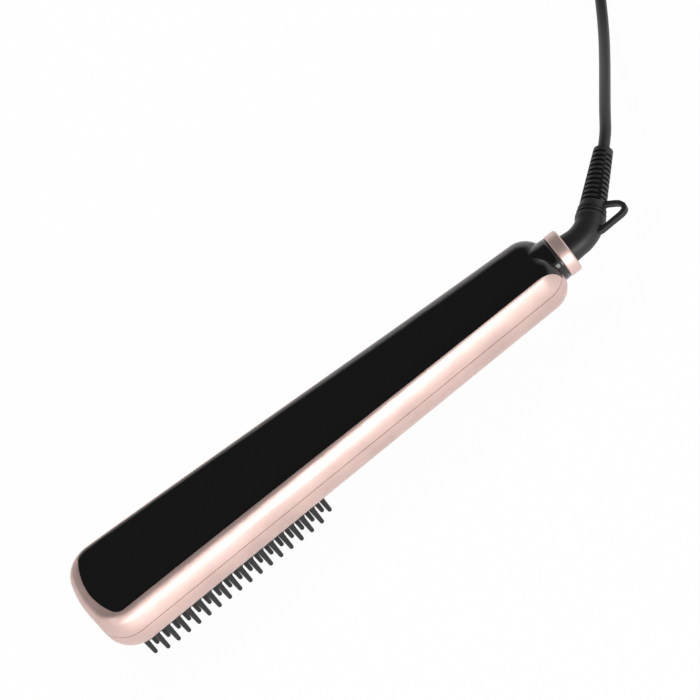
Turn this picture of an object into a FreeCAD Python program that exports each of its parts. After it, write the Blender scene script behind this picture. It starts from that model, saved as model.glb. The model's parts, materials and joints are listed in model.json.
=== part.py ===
import FreeCAD
import Part
import Sketcher
import math
import os
import re
from types import SimpleNamespace

# Hair straightening brush, millimetres.
# +X runs from the head to the cord end, +Z is the black back, the bristles point down.
# The origin lies on the surface that the brush stands on, under the middle of its length.

SIZES = [
    # housing
    ("neck_projection", 8.5),
    ("axis_height", 33.5),
    ("nose_half_width", 26.9),
    ("tail_half_width", 18.4),
    ("nose_front_radius", 70.0),
    ("top_rise", 12.4),
    ("belly_drop", 18.5),
    ("belly_angle", 0.9),
    ("top_round", 6.0),
    ("tail_round", 11.0),
    ("belly_round", 11.5),
    ("nose_corner_extra", 4.5),
    ("tail_corner_extra", 1.0),
    ("wall", 2.0),
    ("parting_height", 15.2),
    ("parting_gap", 0.3),
    ("seam_gap", 0.15),
    # black back
    ("bezel_nose", 6.4),
    ("bezel_side_nose", 4.0),
    ("bezel_side_tail", 5.0),
    ("panel_front_radius", 45.0),
    ("panel_corner_radius", 6.0),
    # bristle field, measured from the nose along the belly
    ("field_start", 13.2),
    ("field_length", 105.0),
    ("field_margin", 8.4),
    ("bristle_count", 18.0),
    ("row_count", 7.0),
    ("bristle_root_radius", 1.5),
    ("bristle_tip_radius", 1.1),
    ("plate_proud", 0.6),
    ("plate_thickness", 5.6),
    ("plate_edge", 1.9),
    ("plate_overhang", 2.4),
    ("plate_corner_radius", 6.0),
    ("window_gap", 0.2),
    # heater stack
    ("heating_plate_thickness", 3.0),
    ("heating_plate_edge", 0.8),
    ("heater_screw_reach", 3.2),
    ("heater_boss_radius", 2.2),
    ("heater_margin", 7.5),
    ("ptc_width", 16.0),
    ("ptc_thickness", 2.4),
    ("heater_gap", 14.0),
    ("sheet_thickness", 0.5),
    ("clamp_thickness", 1.2),
    ("clamp_foot", 4.0),
    ("clamp_width", 10.0),
    ("fuse_radius", 1.1),
    ("fuse_length", 10.0),
    # controls in a row on their board, from the head to the tail
    ("display_inset", 5.0),
    ("display_length", 22.0),
    ("display_width", 11.0),
    ("display_lip", 1.0),
    ("display_depth", 5.0),
    ("display_to_button", 11.0),
    ("button_spacing", 18.0),
    ("power_spacing", 18.0),
    ("board_tail", 8.6),
    ("button_radius", 4.2),
    ("power_radius", 4.8),
    ("button_flange", 1.1),
    ("button_flange_thickness", 1.0),
    ("button_proud", 0.9),
    ("button_gap", 0.25),
    ("button_stem_radius", 1.6),
    ("button_travel", 0.5),
    ("button_play", 0.15),
    ("board_width", 24.0),
    ("board_thickness", 1.6),
    ("board_height", 9.0),
    ("board_post_inset", 3.5),
    ("board_post_radius", 2.0),
    ("switch_side", 6.0),
    ("switch_height", 3.2),
    ("plunger_radius", 1.5),
    ("small_screw_radius", 1.0),
    ("screw_head_radius", 2.0),
    ("screw_head_height", 1.4),
    ("thread_gap", 0.05),
    # case screws
    ("front_screw_offset", 12.0),
    ("rear_screw_reach", 51.0),
    ("screw_to_board", 7.2),
    ("case_boss_radius", 3.4),
    ("case_screw_radius", 1.4),
    ("case_head_radius", 2.5),
    ("case_head_depth", 3.0),
    # neck and swivel, measured from the cord end of the collar ring
    ("neck_radius", 11.0),
    ("neck_bore", 7.2),
    ("neck_inner_end", 27.0),
    ("bulkhead_start", 24.0),
    ("bulkhead_thickness", 3.0),
    ("bulkhead_groove", 1.5),
    ("neck_flange_drop", 0.8),
    ("neck_edge_radius", 0.4),
    ("ring_radius", 11.2),
    ("ring_width", 6.4),
    ("ring_lip", 1.6),
    ("ring_spigot", 2.0),
    ("ring_bevel", 0.7),
    ("ring_recess_radius", 9.6),
    ("swivel_gap", 0.3),
    ("running_gap", 0.08),
    ("spool_tail", 12.0),
    ("spool_tail_radius", 5.0),
    ("spool_bore", 3.1),
    ("clip_thickness", 1.2),
    ("clip_groove_radius", 6.2),
    ("clip_radius", 9.0),
    ("slip_ring_radius", 6.0),
    ("slip_ring_width", 2.6),
    ("slip_ring_spacing", 5.4),
    ("leaf_thickness", 0.4),
    ("leaf_gap", 0.3),
    ("terminal_width", 16.0),
    ("terminal_height", 3.2),
    # elbow, strain relief and loop
    ("elbow_foot_radius", 7.3),
    ("elbow_radius", 6.9),
    ("elbow_straight", 4.4),
    ("elbow_bend_radius", 15.0),
    ("elbow_angle", 50.0),
    ("relief_length", 41.0),
    ("relief_tip_radius", 4.75),
    ("relief_core", 3.5),
    ("ridge_height", 0.5),
    ("relief_slots", 11.0),
    ("relief_slot_start", 9.5),
    ("relief_slot_width", 1.2),
    ("relief_mouth_depth", 6.0),
    ("mouth_gap", 0.15),
    ("loop_width", 2.6),
    ("loop_round", 2.6),
    ("eye_round", 1.2),
    # lead, coil and plug
    ("cord_diameter", 5.6),
    ("cord_lead_out", 8.0),
    ("coil_inner_radius", 23.0),
    ("coil_pitch", 6.4),
    ("coil_layer_pitch", 6.3),
    ("coil_lift", 1.5),
    ("coil_quarters", 14.0),
    ("coil_tail", 28.0),
    ("tie_width", 9.0),
    ("tie_thickness", 1.2),
    ("tie_gap", 0.5),
    ("plug_length", 34.0),
    ("plug_width", 35.0),
    ("plug_height", 17.0),
    ("plug_grip", 12.0),
    ("plug_boot", 5.0),
    ("plug_round", 1.5),
    ("plug_floor_gap", 0.2),
    ("pin_radius", 2.0),
    ("pin_length", 19.0),
    ("pin_spacing", 19.0),
    ("lead_radius", 1.0),
]

# Sizes that follow: the brush is as long as what stands in a row inside it. Starts are measured
# from the nose along the belly.
FOLLOWING = [
    ("field_end", "field_start + field_length + plate_overhang"),
    ("front_screw_start", "field_end + front_screw_offset"),
    ("board_start", "front_screw_start + screw_to_board"),
    ("display_start", "board_start + display_inset"),
    ("minus_start", "display_start + display_length + display_to_button"),
    ("plus_start", "minus_start + button_spacing"),
    ("power_start", "plus_start + power_spacing"),
    ("board_length", "power_start + board_tail - board_start"),
    ("rear_screw_start", "board_start + board_length + screw_to_board"),
    ("overall_length", "rear_screw_start + rear_screw_reach"),
    ("body_length", "overall_length - neck_projection"),
    ("ptc_length", "(field_length - heater_gap) / 2 - heater_margin"),
    ("ptc_spacing", "ptc_length + heater_gap"),
    ("plug_waist", "plug_length - plug_grip"),
]

# The lead's route from the strain relief's mouth to the coil: steps from the mouth, and the
# share of the drop from the mouth to the coil's lower layer.
CORD_ROUTE = [
    (12.9, 23.5, 0.137),
    (21.9, 44.9, 0.394),
    (31.1, 67.4, 0.685),
    (40.6, 90.0, 0.918),
    (49.8, 111.5, 1.034),
    (59.0, 130.5, 1.0),
    (67.6, 147.5, 1.0),
]

# The hang loop's outline and eye in the plane of the elbow: along the relief, then outwards.
LOOP_OUTLINE = [(-10.4, 3.6), (1.7, 16.6), (3.5, 17.9), (5.7, 18.3), (8.1, 17.1), (9.9, 14.1),
                (10.3, 11.3), (10.3, 3.5)]
LOOP_EYE = [(-4.9, 6.2), (3.0, 14.5), (4.7, 15.7), (6.3, 15.5), (7.7, 13.8), (8.1, 11.5), (8.1, 6.2)]

doc = FreeCAD.newDocument("HairBrush")
sheet = doc.addObject("Spreadsheet::Sheet", "dim")
for row, (alias, value) in enumerate(SIZES, start=1):
    sheet.set("A%d" % row, alias)
    sheet.set("B%d" % row, str(value))
    sheet.setAlias("B%d" % row, alias)
for row, (alias, text) in enumerate(FOLLOWING, start=len(SIZES) + 1):
    sheet.set("A%d" % row, alias)
    sheet.set("B%d" % row, "=" + text)
    sheet.setAlias("B%d" % row, alias)
doc.recompute()
ALIASES = {alias for alias, value in SIZES + FOLLOWING}
d = SimpleNamespace(**{alias: float(sheet.get(alias)) for alias in ALIASES})

NOSE = "(-overall_length / 2)"
TAIL = "(-overall_length / 2 + body_length)"
RING_END = "(overall_length / 2)"
BELLY_NOSE = "(axis_height - belly_drop)"
VECTOR = FreeCAD.Vector
PIECES = []


def formula(text):
    """Turn the sizes named in a formula into references to the sheet's cells."""
    return re.sub(r"[a-z][a-z_]+", lambda m: "dim." + m[0] if m[0] in ALIASES else m[0], str(text))


def bind(target, **formulas):
    for name, text in formulas.items():
        target.setExpression(name.replace("__", "."), formula(text))


def at(x, y, z, frame=None, axis=(0, 1, 0), angle=0):
    """A placement formula at x, y, z, turned about an axis, in a named frame."""
    place = "create(<<placement>>; create(<<vector>>; %s; %s; %s); " % (x, y, z)
    place += "create(<<rotation>>; create(<<vector>>; %s; %s; %s); %s))" % (*axis, angle)
    return place if frame is None else frame + ".Placement * " + place


def piece(shape_object, label):
    """Register a finished sub-part under the name of its node."""
    shape_object.Label = label
    PIECES.append(shape_object)
    return shape_object


def box(name, place, length, width, height):
    block = doc.addObject("Part::Box", name)
    bind(block, Length=length, Width=width, Height=height, Placement=place)
    return block


def cylinder(name, place, radius, height):
    post = doc.addObject("Part::Cylinder", name)
    bind(post, Radius=radius, Height=height, Placement=place)
    return post


def fuse(name, shapes):
    union = doc.addObject("Part::MultiFuse", name)
    union.Shapes = shapes
    return union


def cut(name, base, tool):
    cutting = doc.addObject("Part::Cut", name)
    cutting.Base = base
    cutting.Tool = tool
    return cutting


def common(name, first, second):
    overlap = doc.addObject("Part::Common", name)
    overlap.Base = first
    overlap.Tool = second
    return overlap


def new_body(name, frame=None):
    body = doc.addObject("PartDesign::Body", name)
    if frame is not None:
        body.setExpression("Placement", frame + ".Placement")
    return body


def new_sketch(body, name, role, lift="0", shift="0"):
    sketch = body.newObject("Sketcher::SketchObject", name)
    plane = [feature for feature in body.Origin.OriginFeatures if feature.Role == role][0]
    sketch.AttachmentSupport = [(plane, "")]
    sketch.MapMode = "FlatFace"
    bind(sketch, AttachmentOffset__Base__z=lift, AttachmentOffset__Base__y=shift)
    return sketch


def fix_point(sketch, edge, end, x, y):
    drawn = sketch.getPoint(edge, end)
    for kind, start, text in (("DistanceX", drawn.x, x), ("DistanceY", drawn.y, y)):
        index = sketch.addConstraint(Sketcher.Constraint(kind, edge, end, start))
        sketch.setExpression("Constraints[%d]" % index, formula(text))


def fix_radius(sketch, edge, radius):
    index = sketch.addConstraint(Sketcher.Constraint("Radius", edge, sketch.Geometry[edge].Radius))
    sketch.setExpression("Constraints[%d]" % index, formula(radius))


def polygon(sketch, corners):
    """A closed outline of straight edges whose corners are given as formulas."""
    count = len(corners)
    turn = [2 * math.pi * i / count for i in range(count)]
    start = [VECTOR(math.cos(angle), math.sin(angle), 0) for angle in turn]
    for i in range(count):
        sketch.addGeometry(Part.LineSegment(start[i], start[(i + 1) % count]))
    for i in range(count):
        sketch.addConstraint(Sketcher.Constraint("Coincident", i, 2, (i + 1) % count, 1))
    for i, (x, y) in enumerate(corners):
        fix_point(sketch, i, 1, x, y)


def circle(sketch, x, y, radius):
    edge = sketch.addGeometry(Part.Circle(VECTOR(1, 1, 0), VECTOR(0, 0, 1), 1.0))
    fix_point(sketch, edge, 3, x, y)
    fix_radius(sketch, edge, radius)


def tapered_outline(sketch, front, tail, half_front, half_tail, front_radius):
    """A long outline that narrows to the tail, with a bowed front edge."""
    nose, end = -d.overall_length / 2, d.overall_length / 2
    corners = [VECTOR(nose, d.nose_half_width, 0), VECTOR(nose, -d.nose_half_width, 0),
               VECTOR(end, -d.tail_half_width, 0), VECTOR(end, d.tail_half_width, 0)]
    sketch.addGeometry(Part.Arc(corners[0], VECTOR(nose - 1, 0, 0), corners[1]))
    for i in (1, 2, 3):
        sketch.addGeometry(Part.LineSegment(corners[i], corners[(i + 1) % 4]))
    for i in range(4):
        sketch.addConstraint(Sketcher.Constraint("Coincident", i, 2, (i + 1) % 4, 1))
    fix_radius(sketch, 0, front_radius)
    fix_point(sketch, 0, 1, front, half_front)
    fix_point(sketch, 1, 1, front, "-(%s)" % half_front)
    fix_point(sketch, 2, 1, tail, "-(%s)" % half_tail)
    fix_point(sketch, 3, 1, tail, half_tail)


def pad(body, sketch, length, symmetric=False):
    feature = body.newObject("PartDesign::Pad", sketch.Name + "_pad")
    feature.Profile = sketch
    feature.SideType = "Symmetric" if symmetric else "One side"
    bind(feature, Length=length)
    return feature


def pocket(body, sketch, length, symmetric=False):
    feature = body.newObject("PartDesign::Pocket", sketch.Name + "_pocket")
    feature.Profile = sketch
    feature.SideType = "Symmetric" if symmetric else "One side"
    bind(feature, Length=length)
    return feature


def revolve(body, sketch):
    feature = body.newObject("PartDesign::Revolution", sketch.Name + "_turn")
    feature.Profile = sketch
    feature.ReferenceAxis = (sketch, ["H_Axis"])
    feature.Angle = 360
    return feature


def round_edges(body, base, chosen, radius):
    """Round the edges of the base feature that the test chosen picks."""
    doc.recompute()
    names = ["Edge%d" % i for i, edge in enumerate(base.Shape.Edges, start=1) if chosen(edge)]
    feature = body.newObject("PartDesign::Fillet", base.Name + "_round")
    feature.Base = (base, names)
    bind(feature, Radius=radius)
    return feature


def upright(edge):
    low, high = edge.BoundBox.ZMin, edge.BoundBox.ZMax
    across = max(edge.BoundBox.XLength, edge.BoundBox.YLength)
    return high - low > across + 1


def rim(feature, highest):
    """A test for the edges round the highest or the lowest face of a feature."""
    doc.recompute()
    faces = sorted(feature.Shape.Faces, key=lambda face: face.CenterOfMass.z)
    face = faces[-1] if highest else faces[0]
    return lambda edge: any(edge.isSame(other) for other in face.Edges)


# Frames: the belly of the brush, the turning cord entry, and the strain relief
belly_frame = doc.addObject("App::Placement", "belly_frame")
belly_frame.Placement.Rotation = FreeCAD.Rotation(VECTOR(0, 1, 0), -1)
bind(belly_frame, Placement__Base__x=NOSE, Placement__Base__z=BELLY_NOSE,
     Placement__Rotation__Angle="-belly_angle")

relief_frame = doc.addObject("App::Placement", "relief_frame")
relief_frame.Placement.Rotation = FreeCAD.Rotation(VECTOR(0, 0, 1), 1)
bind(relief_frame,
     Placement__Base__x=RING_END + " + elbow_straight + elbow_bend_radius * sin(elbow_angle)",
     Placement__Base__y="elbow_bend_radius * (1 - cos(elbow_angle))",
     Placement__Base__z="axis_height", Placement__Rotation__Angle="elbow_angle")


def rounded_form(name, inset):
    """The housing's outside, or with an inset the space inside its wall."""
    body = new_body(name)
    radius = "(nose_front_radius - %s)" % inset
    half_front = "(nose_half_width - %s)" % inset
    front = "%s + %s + %s - sqrt(%s^2 - %s^2)" % (NOSE, inset, radius, radius, half_front)
    margin = "1"
    plan = new_sketch(body, name + "_plan", "XY_Plane", lift="%s - %s" % (BELLY_NOSE, margin))
    tapered_outline(plan, front, "%s - %s" % (TAIL, inset), half_front,
                    "tail_half_width - %s" % inset, radius)
    block = pad(body, plan, "belly_drop + top_rise + %s - %s" % (margin, inset))
    corner = "belly_round - %s + " % inset
    nose = round_edges(body, block, lambda edge: upright(edge) and edge.BoundBox.XMax < 0,
                       corner + "nose_corner_extra")
    tail = round_edges(body, nose, lambda edge: upright(edge) and edge.BoundBox.XMin > d.body_length / 4,
                       "max(belly_round; tail_round) - %s + tail_corner_extra" % inset)
    side = new_sketch(body, name + "_belly", "XZ_Plane")
    low = "%s - 3" % BELLY_NOSE
    lift = "%s + %s / cos(belly_angle)" % (BELLY_NOSE, inset)
    polygon(side, [(NOSE + " - 9", low), (RING_END, low),
                   (RING_END, lift + " + overall_length * tan(belly_angle)"),
                   (NOSE + " - 9", lift + " - 9 * tan(belly_angle)")])
    slope = pocket(body, side, "4 * nose_half_width", symmetric=True)
    round_edges(body, slope, rim(slope, highest=False), "belly_round - %s" % inset)
    shoulder = rim(body, highest=True)
    depth = d.wall if inset == "wall" else 0.0
    fillet = doc.addObject("Part::Fillet", name + "_shoulder")
    fillet.Base = body
    fillet.Edges = [(i, *shoulder_radii(edge, depth)) for i, edge in enumerate(body.Shape.Edges, start=1)
                    if shoulder(edge)]
    return fillet


def shoulder_radii(edge, depth):
    """The shoulder's radius at an edge's two ends: it grows along the handle to the tail."""
    ends = [edge.valueAt(edge.FirstParameter), edge.valueAt(edge.LastParameter)]
    return [(d.top_round if end.x < 0 else d.tail_round) - depth for end in ends]


def half_width(along):
    """Half the housing's width at a distance from the nose."""
    return "(nose_half_width - (nose_half_width - tail_half_width) * (%s) / body_length)" % along


def panel_form(name, grow):
    """An upright block with the outline of the black back, open at the tail."""
    body = new_body(name)
    radius = "(panel_front_radius + %s)" % grow
    half_front = "(nose_half_width - bezel_side_nose + %s)" % grow
    front = "%s + bezel_nose - %s + %s - sqrt(%s^2 - %s^2)" % (NOSE, grow, radius, radius, half_front)
    plan = new_sketch(body, name + "_plan", "XY_Plane", lift=BELLY_NOSE)
    tapered_outline(plan, front, TAIL + " + wall", half_front,
                    "tail_half_width - bezel_side_tail + %s" % grow, radius)
    block = pad(body, plan, "2 * (belly_drop + top_rise)")
    round_edges(body, block, lambda edge: upright(edge) and edge.BoundBox.XMax < 0,
                "panel_corner_radius + %s" % grow)
    return body


def field_form(name, grow, low, height):
    """A slab with the outline of the bristle field, in the belly's frame."""
    body = new_body(name, "belly_frame")
    front = "(field_start - plate_overhang - %s)" % grow
    tail = "(field_end + %s)" % grow
    edge_in = " - field_margin + plate_edge + %s" % grow
    half_front = half_width(front) + edge_in
    plan = new_sketch(body, name + "_plan", "XY_Plane", lift=low)
    tapered_outline(plan, front, tail, half_front, half_width(tail) + edge_in, "4 * nose_front_radius")
    slab = pad(body, plan, height)
    round_edges(body, slab, upright, "plate_corner_radius + %s" % grow)
    return body


def turned(name, corners):
    """A round piece about the neck's axis; corners are distances from the ring's end, and radii."""
    body = new_body(name)
    profile = new_sketch(body, name + "_profile", "XZ_Plane", shift="axis_height")
    polygon(profile, [("%s + %s" % (RING_END, x), radius) for x, radius in corners])
    revolve(body, profile)
    return body


def along_neck(start):
    """A placement formula for a cylinder on the neck's axis."""
    return at("%s + %s" % (RING_END, start), "0", "axis_height", angle=90)


# Housing: outside, inside and the wall between them
outer_form = rounded_form("outer_form", "0")
inner_form = rounded_form("inner_form", "wall")
hollow_form = cut("hollow_form", outer_form, inner_form)
span = ("overall_length + 60", "4 * nose_half_width")
upper_space = box("upper_space", at("-30", "-2 * nose_half_width", "parting_height + parting_gap / 2",
                                    "belly_frame"), *span, "3 * top_rise + belly_drop")
lower_space = box("lower_space", at("-30", "-2 * nose_half_width",
                                    "parting_height - parting_gap / 2 - belly_drop * 2", "belly_frame"),
                  *span, "belly_drop * 2")

# The neck's seat: a bulkhead across the handle's end, and clear bores through the tail
bulkhead_slab = box("bulkhead_slab", at(RING_END + " - bulkhead_start", "-2 * nose_half_width", "0"),
                    "bulkhead_thickness", "4 * nose_half_width", "4 * axis_height")
bulkhead = common("bulkhead", inner_form, bulkhead_slab)
neck_groove = "(neck_radius - bulkhead_groove)"
neck_path = fuse("neck_path", [
    cylinder("groove_path", along_neck("-neck_inner_end - 1"), neck_groove + " + seam_gap", "neck_inner_end"),
    cylinder("sleeve_path", along_neck("-bulkhead_start + bulkhead_thickness"),
             "neck_radius + seam_gap", "bulkhead_start"),
])

# Case screws stand on the belly's frame, heads outwards
CASE_SCREWS = ("front_screw_start", "rear_screw_start")
case_pilot = "parting_height + parting_gap / 2 + 3 * case_boss_radius"
cover_posts, cover_pilots, shell_bosses, shell_bores, screw_solids = [], [], [], [], []
for i, start in enumerate(CASE_SCREWS):
    lid = "top_rise + belly_drop - %s * tan(belly_angle) - wall / 2" % start
    joint = "parting_height + parting_gap / 2"
    cover_posts.append(cylinder("cover_post_%d" % i, at(start, "0", joint, "belly_frame"),
                                "case_boss_radius", "%s - (%s)" % (lid, joint)))
    cover_pilots.append(cylinder("cover_pilot_%d" % i, at(start, "0", joint + " - 1", "belly_frame"),
                                 "case_screw_radius + thread_gap", "3 * case_boss_radius + 2"))
    shell_bosses.append(cylinder("shell_boss_%d" % i, at(start, "0", "wall / 2", "belly_frame"),
                                 "case_boss_radius", "parting_height - parting_gap / 2 - wall / 2"))
    shell_bores.append(cylinder("shell_bore_%d" % i, at(start, "0", "-1", "belly_frame"),
                                "case_screw_radius + seam_gap", "parting_height + 2"))
    shell_bores.append(cylinder("head_bore_%d" % i, at(start, "0", "-1", "belly_frame"),
                                "case_head_radius + seam_gap", "case_head_depth + 1"))
    head_place = at(start, "0", "case_head_depth - screw_head_height", "belly_frame")
    screw_solids.append(fuse("case_screw_%d" % i, [
        cylinder("case_head_%d" % i, head_place, "case_head_radius", "screw_head_height"),
        cylinder("case_shank_%d" % i, at(start, "0", "case_head_depth", "belly_frame"),
                 "case_screw_radius", case_pilot + " - case_head_depth"),
    ]))


def group(label, solids):
    """Separate solids of one kind that share a node."""
    bundle = doc.addObject("Part::Compound", label + "_group")
    bundle.Links = solids
    return piece(bundle, label)


group("case_screws", screw_solids)

# Black back: the top of the housing inside the bezel, with its posts and half of the bulkhead
panel_block = panel_form("panel_block", "0")
panel_hole = panel_form("panel_hole", "seam_gap")
cover_wall = common("cover_wall", common("cover_top", hollow_form, panel_block), upper_space)
cover_rib = common("cover_rib", common("cover_rib_top", bulkhead, panel_block), upper_space)
cover_blank = fuse("cover_blank", [cover_wall, cover_rib] + cover_posts)
piece(cut("cover", cover_blank, fuse("cover_holes", [neck_path] + cover_pilots)), "back_cover")

# Rose-gold shell round the black back
piece(cut("back", common("back_wall", hollow_form, upper_space), panel_hole), "back_shell")

# Bristle plate, its window in the belly, and the heating plate with its two ears
plate_low = "-plate_proud"
plate_top = "(plate_thickness - plate_proud)"
piece(field_form("plate", "0", plate_low, "plate_thickness"), "bristle_plate")
window = field_form("window", "window_gap", "-belly_drop / 2", "belly_drop")
heating_top = "(%s + heating_plate_thickness)" % plate_top
ears = [("front_ear", "field_start - plate_overhang - heater_screw_reach"),
        ("rear_ear", "field_end + heater_screw_reach")]
heating_solids = [field_form("heating_slab", "heating_plate_edge", plate_top, "heating_plate_thickness")]
heater_bosses, heater_pilots, ear_bores, heater_screw_solids = [], [], [], []
for name, start in ears:
    ear_place = at("%s - heater_boss_radius" % start, "-ptc_width / 4", plate_top, "belly_frame")
    heating_solids.append(box(name, ear_place, "2 * heater_boss_radius + 2 * heating_plate_edge",
                              "ptc_width / 2", "heating_plate_thickness"))
    heater_bosses.append(cylinder(name + "_boss", at(start, "0", "wall / 2", "belly_frame"),
                                  "heater_boss_radius", plate_top + " - wall / 2"))
    heater_pilots.append(cylinder(name + "_pilot", at(start, "0", "wall", "belly_frame"),
                                  "small_screw_radius + thread_gap", "plate_thickness"))
    ear_bores.append(cylinder(name + "_bore", at(start, "0", "0", "belly_frame"),
                              "small_screw_radius + seam_gap", "belly_drop"))
    heater_screw_solids.append(fuse(name + "_screw", [
        cylinder(name + "_head", at(start, "0", heating_top, "belly_frame"),
                 "screw_head_radius", "screw_head_height"),
        cylinder(name + "_shank", at(start, "0", "wall + thread_gap", "belly_frame"), "small_screw_radius",
                 heating_top + " - wall - thread_gap"),
    ]))
piece(cut("heating", fuse("heating_blank", heating_solids), fuse("ear_holes", ear_bores)), "heating_plate")
group("heater_screws", heater_screw_solids)

# Heater blocks, cover sheet, sprung clamp, sensor and fuse on the heating plate
field_middle = "(field_start + field_length / 2)"
ptc_solids = []
for side in (-1, 1):
    middle = "%s + %d * ptc_spacing / 2" % (field_middle, side)
    ptc_solids.append(box("ptc_%s" % ("front" if side < 0 else "rear"),
                          at(middle + " - ptc_length / 2", "-ptc_width / 2", heating_top, "belly_frame"),
                          "ptc_length", "ptc_width", "ptc_thickness"))
group("ptc_heaters", ptc_solids)
stack_half = "(ptc_spacing / 2 + ptc_length / 2)"
sheet_low = "(%s + ptc_thickness)" % heating_top
piece(box("mica", at("%s - %s" % (field_middle, stack_half), "-ptc_width / 2", sheet_low, "belly_frame"),
          "2 * " + stack_half, "ptc_width", "sheet_thickness"), "insulation_sheet")
clamp_low = "(%s + sheet_thickness)" % sheet_low
clamp_start = "%s - %s - clamp_foot - seam_gap" % (field_middle, stack_half)
clamp_span = "2 * (%s + clamp_foot + seam_gap)" % stack_half
piece(fuse("clamp", [
    box("clamp_strip", at(clamp_start, "-clamp_width / 2", clamp_low, "belly_frame"),
        clamp_span, "clamp_width", "clamp_thickness"),
    box("clamp_front_foot", at(clamp_start, "-clamp_width / 2", heating_top, "belly_frame"),
        "clamp_foot", "clamp_width", "%s - %s" % (clamp_low, heating_top)),
    box("clamp_rear_foot", at("%s + %s + seam_gap" % (field_middle, stack_half), "-clamp_width / 2",
                              heating_top, "belly_frame"),
        "clamp_foot", "clamp_width", "%s - %s" % (clamp_low, heating_top)),
]), "heater_clamp")
slot_quarter = "(ptc_spacing - ptc_length) / 4"
sensor_place = at("%s - %s - fuse_radius" % (field_middle, slot_quarter), "-2 * fuse_radius",
                  heating_top, "belly_frame")
piece(box("sensor", sensor_place, "2 * fuse_radius", "4 * fuse_radius", "1.8 * fuse_radius"), "thermistor")
piece(cylinder("cutout", at("%s + %s" % (field_middle, slot_quarter), "fuse_length / 2",
                            heating_top + " + fuse_radius + thread_gap", "belly_frame", axis=(1, 0, 0), angle=90),
               "fuse_radius", "fuse_length"), "thermal_fuse")


def bristle_solid(foot, length):
    """One tapered, round-ended bristle that stands on the bristle plate and points down."""
    root, tip = d.bristle_root_radius, d.bristle_tip_radius
    neck = VECTOR(tip, 0, -(length - tip))
    end = VECTOR(0, 0, -length)
    turn = math.sqrt(0.5) * tip
    outline = Part.Wire([
        Part.makeLine(VECTOR(0, 0, 0), VECTOR(root, 0, 0)),
        Part.makeLine(VECTOR(root, 0, 0), neck),
        Part.Arc(neck, VECTOR(turn, 0, -(length - tip) - turn), end).toShape(),
        Part.makeLine(end, VECTOR(0, 0, 0)),
    ])
    solid = Part.Face(outline).revolve(VECTOR(0, 0, 0), VECTOR(0, 0, 1), 360)
    solid.translate(foot)
    return solid


def bristle_feet():
    """Feet of all bristles on the plate, and whether each one is on the field's outer ring."""
    pitch = d.field_length / (d.bristle_count - 1)
    rows = int(d.row_count)
    outermost = (rows - 1) / 2
    taper = (d.nose_half_width - d.tail_half_width) / d.body_length
    for row in range(rows):
        share = (row - outermost) / outermost
        staggered = (row % 2) != 0
        count = int(d.bristle_count) - (1 if staggered else 0)
        for i in range(count):
            along = pitch * (i + (0.5 if staggered else 0.0))
            from_end = min(along, d.field_length - along)
            draw_in = max(0.0, 1.0 - from_end / (1.5 * pitch)) ** 2
            half = d.nose_half_width - taper * (d.field_start + along) - d.field_margin
            x = d.field_start + along
            y = share * (half - draw_in * pitch / 2)
            guard = abs(share) == 1 or i in (0, count - 1)
            yield VECTOR(x, y, -d.plate_proud), guard


tilt = math.radians(d.belly_angle)
first_drop = d.axis_height - d.belly_drop + d.field_start * math.sin(tilt) - d.plate_proud * math.cos(tilt)
bristle_length = (first_drop - d.bristle_tip_radius) / math.cos(tilt) + d.bristle_tip_radius
for label, wanted in (("guard_bristles", True), ("heated_bristles", False)):
    tuft = doc.addObject("Part::Feature", label)
    tuft.Shape = Part.makeCompound([bristle_solid(foot, bristle_length)
                                    for foot, guard in bristle_feet() if guard == wanted])
    tuft.setExpression("Placement", "belly_frame.Placement")
    piece(tuft, label)

# Buttons in the handle's belly, each with its bore and its switch on the board
BUTTONS = [("power_button", "power_start", "power_radius"), ("plus_button", "plus_start", "button_radius"),
           ("minus_button", "minus_start", "button_radius")]
plunger_low = "(board_height - switch_height - plunger_radius / 2)"
button_bores, switch_solids = [], []
for label, start, radius in BUTTONS:
    key = new_body(label + "_body")
    bind(key, Placement=at(start, "0", "0", "belly_frame"))
    profile = new_sketch(key, label + "_profile", "XZ_Plane")
    flange = "wall + button_play"
    polygon(profile, [("0", "-button_proud"), (radius + " - button_proud / 2", "-button_proud"),
                      (radius, "-button_proud / 2"), (radius, flange), (radius + " + button_flange", flange),
                      (radius + " + button_flange", flange + " + button_flange_thickness"),
                      ("button_stem_radius", flange + " + button_flange_thickness"),
                      ("button_stem_radius", plunger_low + " - button_travel - button_play"),
                      ("0", plunger_low + " - button_travel - button_play")])
    turn = revolve(key, profile)
    turn.ReferenceAxis = (profile, ["V_Axis"])
    piece(key, label)
    button_bores.append(cylinder(label + "_bore", at(start, "0", "-2 * wall", "belly_frame"),
                                 radius + " + button_gap", "4 * wall"))
    switch_solids.append(fuse(label + "_switch", [
        box(label + "_case", at(start + " - switch_side / 2", "-switch_side / 2", "board_height - switch_height",
                                "belly_frame"), "switch_side", "switch_side", "switch_height"),
        cylinder(label + "_plunger", at(start, "0", plunger_low, "belly_frame"), "plunger_radius", "plunger_radius"),
    ]))
group("tact_switches", switch_solids)

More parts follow.
